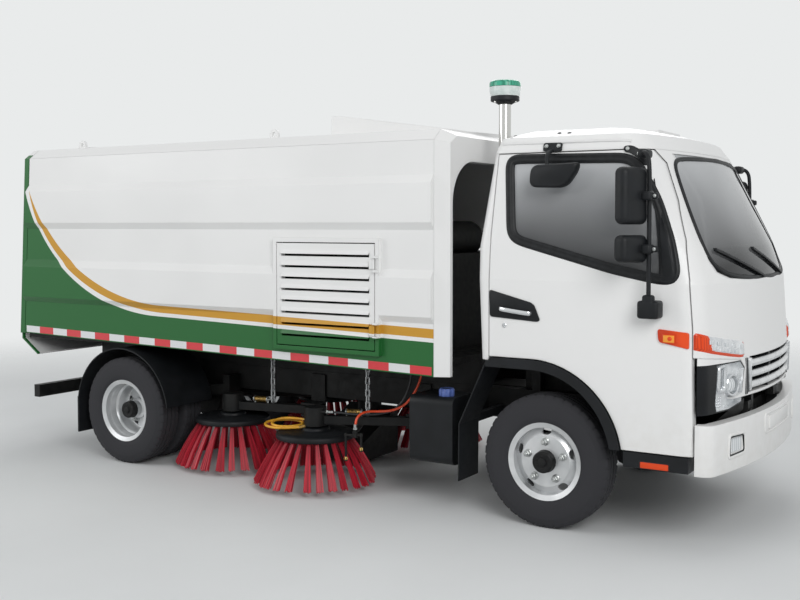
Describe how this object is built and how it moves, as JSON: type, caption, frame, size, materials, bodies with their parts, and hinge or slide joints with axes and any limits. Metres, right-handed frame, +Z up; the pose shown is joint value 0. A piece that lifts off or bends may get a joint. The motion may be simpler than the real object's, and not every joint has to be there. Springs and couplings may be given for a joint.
{
  "type": "street sweeper truck",
  "caption": "Light truck with a tilting cab, a ribbed sweeping body with tailgate and louvred side doors, and ring brushes on swinging arms under the frame.",
  "frame": {"origin": "on the ground under the middle of the truck's length and width", "axes": "+X forward, +Y to the truck's left, +Z up"},
  "size_m": [5.5278, 2.46, 2.615],
  "materials": {
    "white_paint": "gloss white coachwork paint",
    "frame_paint": "black chassis paint",
    "cast_black": "painted casting",
    "tyre_rubber": "road tyre",
    "flap_plastic": "moulded black plastic",
    "wheel_silver": "silver wheel paint",
    "clear_lens": "clear lamp lens",
    "tinted_glass": "tinted safety glass",
    "grille_plastic": "satin grille moulding",
    "brush_bristle": "red bristle on a black plate",
    "seat_cloth": "woven seat cover",
    "pole_steel": "steel pole",
    "eye_steel": "steel lug",
    "orange_hose": "orange spray hose",
    "yellow_hose": "yellow water hose",
    "black_hose": "black hydraulic hose"
  },
  "bodies": {
    "chassis": {"frame_rails": "frame_paint", "frame_members": "frame_paint", "front_axle": "cast_black", "rear_axle": "cast_black", "leaf_springs": "frame_paint", "engine": "cast_black", "front_bumper": "white_paint", "chassis_lamps": "clear_lens", "rear_guard": "frame_paint", "mudguards": "flap_plastic", "side_tanks": "flap_plastic", "body_sides": "white_paint", "body_roof": "white_paint", "body_front": "white_paint", "body_floor": "frame_paint", "auxiliary_engine": "cast_black", "suction_nozzle": "frame_paint", "lifting_eyes": "eye_steel"},
    "tail_body": {"tailgate": "white_paint"},
    "louvre_body_right": {"louvre_door_right": "white_paint"},
    "louvre_body_left": {"louvre_door_left": "white_paint"},
    "cab": {"cab_roof": "white_paint", "cab_front": "white_paint", "cab_rear": "white_paint", "cab_floor": "frame_paint", "cab_glass": "tinted_glass", "grille": "grille_plastic", "cab_lamps": "clear_lens", "wipers": "flap_plastic", "dashboard": "flap_plastic", "seats": "seat_cloth", "cab_trim": "flap_plastic", "beacon": "pole_steel"},
    "door_body_right": {"door_right": "white_paint", "door_glass_right": "tinted_glass", "mirrors_right": "flap_plastic"},
    "door_body_left": {"door_left": "white_paint", "door_glass_left": "tinted_glass", "mirrors_left": "flap_plastic"},
    "knuckle_body_right": {"knuckle_right": "cast_black"},
    "knuckle_body_left": {"knuckle_left": "cast_black"},
    "wheel_front_right": {"tyre_front_right": "tyre_rubber", "rim_front_right": "wheel_silver"},
    "wheel_rear_right": {"tyres_rear_right": "tyre_rubber", "rims_rear_right": "wheel_silver"},
    "arm_front_right": {"brush_arm_front_right": "frame_paint", "spray_hose": "orange_hose", "hydraulic_hose": "black_hose", "water_hose_coil": "yellow_hose"},
    "sweep_front_right": {"brush_front_right": "brush_bristle"},
    "arm_rear_right": {"brush_arm_rear_right": "frame_paint"},
    "sweep_rear_right": {"brush_rear_right": "brush_bristle"},
    "wheel_front_left": {"tyre_front_left": "tyre_rubber", "rim_front_left": "wheel_silver"},
    "wheel_rear_left": {"tyres_rear_left": "tyre_rubber", "rims_rear_left": "wheel_silver"},
    "arm_front_left": {"brush_arm_front_left": "frame_paint"},
    "sweep_front_left": {"brush_front_left": "brush_bristle"},
    "arm_rear_left": {"brush_arm_rear_left": "frame_paint"},
    "sweep_rear_left": {"brush_rear_left": "brush_bristle"}
  },
  "joints": [
    {"name": "tailgate_lift", "type": "hinge", "parent": "chassis", "child": "tail_body", "pos_m": [-2.62009, 0, 2.361], "axis": [0, 1, 0], "range_deg": [0, 75]},
    {"name": "cab_tilt", "type": "hinge", "parent": "chassis", "child": "cab", "pos_m": [2.649, 0, 0.722], "axis": [0, 1, 0], "range_deg": [0, 45]},
    {"name": "louvre_right", "type": "hinge", "parent": "chassis", "child": "louvre_body_right", "pos_m": [0.574, -1.039, 1.3], "axis": [0, 0, 1], "range_deg": [0, 100]},
    {"name": "door_right_swing", "type": "hinge", "parent": "cab", "child": "door_body_right", "pos_m": [2.514, -0.993, 1.3], "axis": [0, 0, 1], "range_deg": [0, 65]},
    {"name": "steer_right", "type": "hinge", "parent": "chassis", "child": "knuckle_body_right", "pos_m": [1.664, -0.7, 0.3875], "axis": [0, 0, 1], "range_deg": [-33, 33]},
    {"name": "wheel_front_right_spin", "type": "hinge", "parent": "knuckle_body_right", "child": "wheel_front_right", "pos_m": [1.664, -0.834, 0.3875], "axis": [0, 1, 0], "continuous": true},
    {"name": "wheel_rear_right_spin", "type": "hinge", "parent": "chassis", "child": "wheel_rear_right", "pos_m": [-1.644, -0.779, 0.3875], "axis": [0, 1, 0], "continuous": true},
    {"name": "arm_front_right_swing", "type": "hinge", "parent": "chassis", "child": "arm_front_right", "pos_m": [0.544, -0.47, 0.44], "axis": [0, 0, 1], "range_deg": [0, 20]},
    {"name": "brush_front_right_spin", "type": "hinge", "parent": "arm_front_right", "child": "sweep_front_right", "pos_m": [-0.076, -0.76, 0.36], "axis": [0, 0, 1], "continuous": true},
    {"name": "arm_rear_right_swing", "type": "hinge", "parent": "chassis", "child": "arm_rear_right", "pos_m": [-0.326, -0.47, 0.44], "axis": [0, 0, 1], "range_deg": [0, 15]},
    {"name": "brush_rear_right_spin", "type": "hinge", "parent": "arm_rear_right", "child": "sweep_rear_right", "pos_m": [-0.936, -0.6, 0.36], "axis": [0, 0, 1], "continuous": true},
    {"name": "louvre_left", "type": "hinge", "parent": "chassis", "child": "louvre_body_left", "pos_m": [0.574, 1.039, 1.3], "axis": [0, 0, -1], "range_deg": [0, 100]},
    {"name": "door_left_swing", "type": "hinge", "parent": "cab", "child": "door_body_left", "pos_m": [2.514, 0.993, 1.3], "axis": [0, 0, -1], "range_deg": [0, 65]},
    {"name": "steer_left", "type": "hinge", "parent": "chassis", "child": "knuckle_body_left", "pos_m": [1.664, 0.7, 0.3875], "axis": [0, 0, 1], "range_deg": [-33, 33]},
    {"name": "wheel_front_left_spin", "type": "hinge", "parent": "knuckle_body_left", "child": "wheel_front_left", "pos_m": [1.664, 0.834, 0.3875], "axis": [0, 1, 0], "continuous": true},
    {"name": "wheel_rear_left_spin", "type": "hinge", "parent": "chassis", "child": "wheel_rear_left", "pos_m": [-1.644, 0.779, 0.3875], "axis": [0, 1, 0], "continuous": true},
    {"name": "arm_front_left_swing", "type": "hinge", "parent": "chassis", "child": "arm_front_left", "pos_m": [0.544, 0.47, 0.44], "axis": [0, 0, -1], "range_deg": [0, 20]},
    {"name": "brush_front_left_spin", "type": "hinge", "parent": "arm_front_left", "child": "sweep_front_left", "pos_m": [-0.076, 0.76, 0.36], "axis": [0, 0, 1], "continuous": true},
    {"name": "arm_rear_left_swing", "type": "hinge", "parent": "chassis", "child": "arm_rear_left", "pos_m": [-0.326, 0.47, 0.44], "axis": [0, 0, -1], "range_deg": [0, 15]},
    {"name": "brush_rear_left_spin", "type": "hinge", "parent": "arm_rear_left", "child": "sweep_rear_left", "pos_m": [-0.936, 0.6, 0.36], "axis": [0, 0, 1], "continuous": true}
  ],
  "couplings": [
    {"joint": "steer_left", "follows": "steer_right", "ratio": 1},
    {"joint": "arm_rear_right_swing", "follows": "arm_front_right_swing", "ratio": 0.75},
    {"joint": "arm_rear_left_swing", "follows": "arm_front_left_swing", "ratio": 0.75}
  ]
}
